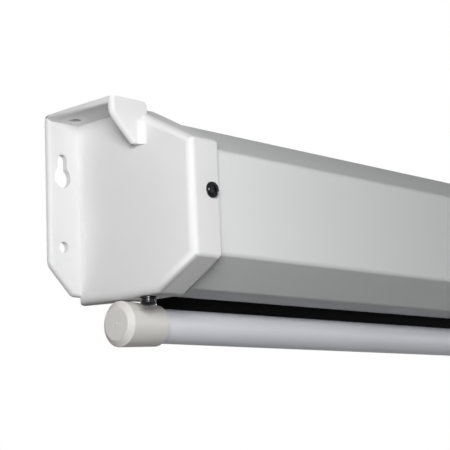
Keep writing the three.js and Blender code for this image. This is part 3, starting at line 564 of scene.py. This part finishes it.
def flat_washer(place):
    """A flat washer below a place in mm, with its edges eased."""
    x, y, z = place
    points = [((x + radius) * MM, y * MM, (z + height) * MM) for radius, height in WASHER_PROFILE]
    return spun(points + [points[0]], (x * MM, y * MM, z * MM), (0, 0, 1), steps=64)


def at_end(side, place):
    """A place of the right end, taken to either end."""
    x, y, z = place
    return side * x, y, z


def cap_fixings():
    """A front and a bottom screw at each end; the bottom one stands off on two washers."""
    for name, side in ENDS:
        screw("front_screw_" + name, "cap_screw_front_" + name,
              at_end(side, FRONT_SEAT), (0, -1, 0), spin=20, length=9)
        screw("bottom_screw_" + name, "cap_screw_bottom_" + name,
              at_end(side, BOTTOM_SEAT), (0, 0, -1), spin=35, length=11.3)
        flat = flat_washer(at_end(side, WASHER_SEAT))
        even_shading(piece(flat, "flat_washer_" + name, "case", SCREW_PLATING,
                           ["cap_washer_" + name]))
        split = whole_copy("lock_washer_" + name)
        soften(split, sharp(split, 40), 0.12 * MM, 2)
        even_shading(piece(split, "spring_washer_" + name, "case", SCREW_PLATING,
                           ["lock_washer_" + name]))


# Weight bar

TUBE_RADIUS = 8.9 * MM
TUBE_WALL = 1.2 * MM
TUBE_END = 657 * MM
HALF_SLOT = 1.2 * MM


def bar_tube():
    """Slotted steel tube: the cloth goes in at the slot on top."""
    gap = math.asin(HALF_SLOT / TUBE_RADIUS)
    bm = bmesh.new()
    start = (BAR_Y + TUBE_RADIUS * math.sin(gap), BAR_Z + TUBE_RADIUS * math.cos(gap))
    bm.edges.new([bm.verts.new((x, *start)) for x in (-TUBE_END, TUBE_END)])
    bmesh.ops.spin(bm, geom=bm.verts[:] + bm.edges[:], cent=(0, BAR_Y, BAR_Z), axis=(1, 0, 0),
                   angle=-(math.tau - 2 * gap), steps=90, use_merge=False, use_duplicate=False)
    face = bm.faces[:][0]
    face_out(bm, face, face.calc_center_median() - Vector((0, BAR_Y, BAR_Z)))
    tube = piece(bm, "slotted_tube", "weight_bar", BAR_ENAMEL, ["bar_tube"], crease=60)
    thicken(tube, "wall", TUBE_WALL)
    even_shading(tube)


# Section of a bar cap in mm, as radius and distance along from its end face: the gate mark, the
# closed end with its chamfer, the taper towards the tube, and the hollow round the plug
BAR_CAP_PROFILE = [(0, -0.3), (0.4, -0.3), (0.8, 0), (8.3, 0), (11.5, 2.2), (10.5, 26.8),
                   (9.2, 26.8), (9.2, 6), (7.4, 6), (7.4, 20), (0, 20)]
BAR_INSET = 1.7 * MM  # a cap's end face to the bar cap's


def bar_caps():
    """Caps at the ends of the tube, with a plug that goes into it."""
    face = HALF - BAR_INSET
    for name, side in ENDS:
        points = [(side * (face - along * MM), BAR_Y, BAR_Z + radius * MM)
                  for radius, along in BAR_CAP_PROFILE]
        bm = spun(points, (0, BAR_Y, BAR_Z), (1, 0, 0), steps=96)
        soften(bm, sharp(bm, 25), 0.4 * MM, 3)
        even_shading(piece(bm, "bar_end_" + name, "weight_bar",
                           BAR_CAP_PLASTIC, ["bar_cap_" + name]))


# Cloth and spring

def screen_sheet():
    """The stretch of cloth between the roll and the bar. Its map gives the length below the roll
    when the screen is down, most of which comes from the short part above the blend's end."""
    bm = bmesh.new()
    bmesh.ops.create_grid(bm, x_segments=60, y_segments=180, size=0.5)
    flat = bm.loops.layers.uv.new("flat")
    tall = CLOTH_TOP - CLOTH_LOW
    bend_end = -50 * MM  # below this the cloth moves with the bar
    for vert in bm.verts:
        across, up = vert.co.x, vert.co.y + 0.5
        vert.co = (across * 2 * CLOTH_SIDE, BAR_Y, CLOTH_LOW + up * tall)
    for face in bm.faces:
        for loop in face.loops:
            z = loop.vert.co.z
            share = min(1, max(0, (CLOTH_TOP - z) / (CLOTH_TOP - bend_end)))
            drawn = DROP * share * share * (3 - 2 * share)
            loop[flat].uv = (loop.vert.co.x, CLOTH_TOP - z + drawn)
    face_out(bm, bm.faces[:][0], Vector((0, -1, 0)))
    sheet = piece(bm, "screen_sheet", None, [CLOTH_FRONT, CLOTH_BACK],
                  ["cloth_sheet"])
    body = thicken(sheet, "cloth", 0.4 * MM, offset=0)
    body.material_offset = 1
    body.material_offset_rim = 1
    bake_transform(sheet)


def wound_cloth():
    """The rest of the cloth, wound on the roller with its black back outwards."""
    profile = [(17.8, -635), (21.5, -635), (21.6, -634.9), (21.6, 634.9), (21.5, 635), (17.8, 635)]
    points = [(x * MM, ROLLER_Y, ROLLER_Z + radius * MM) for radius, x in profile]
    bm = spun(points + [points[0]], (0, ROLLER_Y, ROLLER_Z), (1, 0, 0), steps=96)
    piece(bm, "wound_cloth", "roller", CLOTH_BACK, ["cloth_roll"])


def torsion_spring():
    """The roller's spring: 23 turns of 2.2 mm round wire at a pitch of 8 mm, round the shaft."""
    turns, steps, pitch, coil, wire = 23, 32, 8 * MM, 8.5 * MM, 1.1 * MM
    bm = bmesh.new()
    bmesh.ops.create_circle(bm, cap_ends=True, radius=wire, segments=12)
    lean = Matrix.Rotation(math.atan(pitch / (math.tau * coil)), 4, "Y")
    start = Matrix.Translation((-HALF + SPRING_START, ROLLER_Y + coil, ROLLER_Z))
    bmesh.ops.transform(bm, matrix=start @ lean, verts=bm.verts)
    bmesh.ops.spin(bm, geom=bm.verts[:] + bm.edges[:] + bm.faces[:], cent=(0, ROLLER_Y, ROLLER_Z),
                   axis=(1, 0, 0), dvec=(pitch / steps, 0, 0), angle=math.tau * turns,
                   steps=turns * steps, use_merge=False, use_duplicate=False)
    bmesh.ops.recalc_face_normals(bm, faces=bm.faces)
    piece(bm, "wound_spring", "case", SPRING_WIRE, ["torsion_spring"], crease=60)


# Pieces that keep their CAD shape, with their edges eased by a size in mm
KEPT = [
    ("handle_bracket", "weight_bar", "cap_plastic", CAP_PLASTIC, 0.5),
    ("handle_screw_left", "weight_bar", "dark_screw", SCREW_PLATING, 0.15),
    ("handle_screw_right", "weight_bar", "dark_screw", SCREW_PLATING, 0.15),
    ("handle_pin", "weight_bar", "zinc_steel", ZINC, 0.2),
    ("pull_handle", "handle", "cap_plastic", CAP_PLASTIC, 0.5),
    ("hem_rod", "weight_bar", "hem_plastic", ROD_PLASTIC, 0.2),
    ("weight_rod", "weight_bar", "zinc_steel", ZINC, 0.2),
    ("shaft_socket", "case", "black_nylon", NYLON, 0.2),
    ("spring_shaft", "case", "zinc_steel", ZINC, 0.2),
    ("ratchet_collar", "case", "zinc_steel", ZINC, 0.1),
    ("shaft_guide", "case", "black_nylon", NYLON, 0.2),
    ("idler_bush", "case", "black_nylon", NYLON, 0.2),
    ("roller_tube", "roller", "zinc_steel", ZINC, 0.1),
    ("pawl_plug", "roller", "black_nylon", NYLON, 0.2),
    ("pawl_pin_upper", "roller", "zinc_steel", ZINC, 0.2),
    ("pawl_pin_lower", "roller", "zinc_steel", ZINC, 0.2),
    ("idler_plug", "roller", "black_nylon", NYLON, 0.2),
    ("idler_pin", "roller", "zinc_steel", ZINC, 0.2),
    ("lock_pawl_upper", "upper_pawl", "zinc_steel", ZINC, 0.1),
    ("lock_pawl_lower", "lower_pawl", "zinc_steel", ZINC, 0.1),
]

# The handle's loop lies below this, and its neck and knuckle above it
GRIP_TOP = -110.3 * MM


def kept_pieces():
    """The kept pieces; the pull handle's loop is rounded for the hand as well."""
    for node, body, slot, finish, size in KEPT:
        bm = whole_copy(node)
        if node == "pull_handle":
            grip = [e for e in sharp(bm, 50)
                    if e.is_convex and max(v.co.z for v in e.verts) < GRIP_TOP]
            soften(bm, grip, 2.0 * MM, 5, limited=False)
        soften(bm, sharp(bm, 50), size * MM, 2)
        even_shading(piece(bm, "eased_" + node, body, finish, [node]))


# Studio

WHITE = (1, 1, 1, 1)
FLOOR_Z = -1.16  # a little below the lowered handle


def seen_directly(tree):
    """1 where the camera, a reflection or glass looks, and 0 for the light on the object."""
    rays = add(tree, "ShaderNodeLightPath").outputs
    seen = add(tree, "ShaderNodeMath", {"operation": "MAXIMUM"},
               _0=rays["Is Camera Ray"], _1=rays["Is Glossy Ray"])
    clear = add(tree, "ShaderNodeMath", {"operation": "MAXIMUM"},
                _0=seen.outputs[0], _1=rays["Is Transmission Ray"])
    return clear.outputs[0]


def floor():
    """A floor that is pale where it is seen, and gives little light back to the object."""
    bm = bmesh.new()
    bmesh.ops.create_grid(bm, x_segments=1, y_segments=1, size=6)
    bmesh.ops.translate(bm, verts=bm.verts, vec=(0, 0, FLOOR_Z))
    mesh = bpy.data.meshes.new("floor")
    bm.to_mesh(mesh)
    bm.free()
    paint = bpy.data.materials.new("floor_paint")
    paint.use_nodes = True
    tree = paint.node_tree
    shader = tree.nodes["Principled BSDF"]
    shader.inputs["Base Color"].default_value = linear("#8a8a8a")
    shader.inputs["Roughness"].default_value = 0.9
    shader.inputs["Emission Color"].default_value = WHITE
    pale = add(tree, "ShaderNodeMapRange", Value=seen_directly(tree), To_Min=0.0, To_Max=0.75)
    tree.links.new(pale.outputs["Result"], shader.inputs["Emission Strength"])
    mesh.materials.append(paint)
    made = bpy.data.objects.new("floor", mesh)
    bpy.context.scene.collection.objects.link(made)


def backdrop(light):
    """White where the camera, a reflection or glass looks, and a soft grey light elsewhere."""
    world = bpy.data.worlds.new("studio")
    world.use_nodes = True
    tree = world.node_tree
    shade = tree.nodes["Background"]
    power = add(tree, "ShaderNodeMapRange", Value=seen_directly(tree), To_Min=light, To_Max=1.0)
    shade.inputs["Color"].default_value = WHITE
    tree.links.new(power.outputs["Result"], shade.inputs["Strength"])
    bpy.context.scene.world = world


def lamp(name, place, target, size, power, spread=180):
    """A round lamp of a size in metres, with a beam of a spread in degrees."""
    data = bpy.data.lights.new(name, "AREA")
    data.shape = "DISK"
    data.size = size
    data.energy = power
    data.spread = math.radians(spread)
    made = bpy.data.objects.new(name, data)
    made.location = place
    made.rotation_mode = "QUATERNION"
    made.rotation_quaternion = (Vector(target) - Vector(place)).to_track_quat("-Z", "Y")
    bpy.context.scene.collection.objects.link(made)


def lamps():
    """Two lamps at each end, one in front, one for the lowered cloth and one behind."""
    for _, side in ENDS:
        target = (side * 0.6, -0.05, -0.03)
        lamp("key", (side * 1.0, -0.42, 0.02), target, 0.2, 2.35)
        lamp("end_light", (side * 1.35, -0.35, 0.0), target, 0.4, 1.0)
    lamp("front_fill", (-0.3, -1.2, 0.02), (-0.2, 0, -0.05), 0.8, 1.6)
    lamp("cloth_light", (0, -2.4, -0.7), (0, 0, -0.72), 0.8, 1.5, spread=34)
    lamp("back_fill", (0, 1.3, 0.75), (0, 0, 0), 1.0, 22.0)


def camera():
    """The photograph's view: close to the left end, a little below the case and looking up."""
    data = bpy.data.cameras.new("camera")
    data.sensor_width = 36
    data.lens = 101.94
    data.clip_start = 0.02
    forward = Vector((0.72443775, 0.66809273, 0.16982945))
    right = Vector((0.68244797, -0.72983975, -0.03998391))
    up = Vector((-0.09723532, -0.14486562, 0.984662))
    made = bpy.data.objects.new("camera", data)
    axes = Matrix((right, up, -forward)).transposed().to_4x4()
    made.matrix_world = Matrix.Translation((-1.08644, -0.49284, -0.14625)) @ axes
    bpy.context.scene.collection.objects.link(made)
    bpy.context.scene.camera = made


case_shell()
end_caps()
cap_fixings()
bar_tube()
bar_caps()
screen_sheet()
wound_cloth()
torsion_spring()
kept_pieces()
floor()
backdrop(0.03)
lamps()
camera()
bpy.context.scene.view_settings.view_transform = "Standard"
